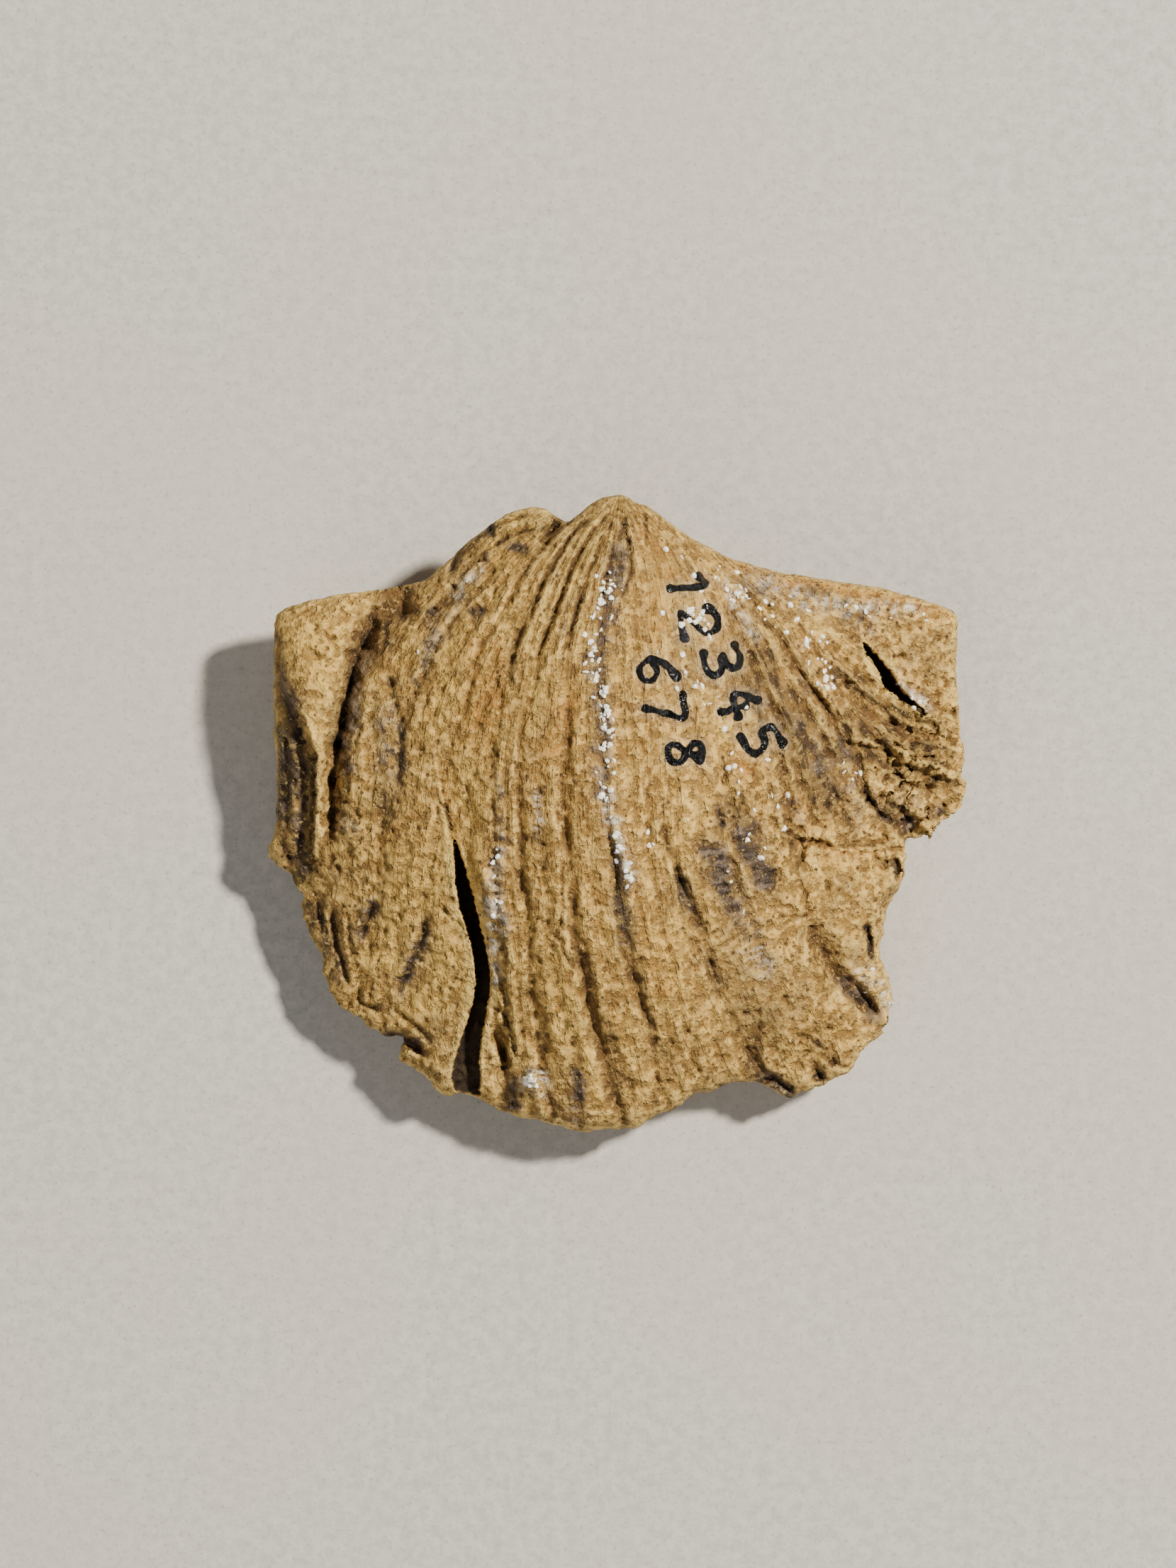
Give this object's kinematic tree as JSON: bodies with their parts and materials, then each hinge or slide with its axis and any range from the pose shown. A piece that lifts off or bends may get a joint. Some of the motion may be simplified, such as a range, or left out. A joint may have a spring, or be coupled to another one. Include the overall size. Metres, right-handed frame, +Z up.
{
  "type": "fossil shell",
  "caption": "Winged, ribbed fossil brachiopod shell in tan stone, cracked and broken round the edge, lying on its smaller valve.",
  "frame": {"origin": "middle of the bounding box, on the surface that the fossil lies on", "axes": "+Z up out of the domed valve, +Y towards the beak, +X along the hinge line to the torn ear"},
  "size_m": [0.0497, 0.0452, 0.0181],
  "materials": {
    "fossil_stone": "rough weathered limestone, tan with brown grooves and grey worn ribs"
  },
  "bodies": {
    "root": {"shell": "fossil_stone"}
  },
  "joints": []
}
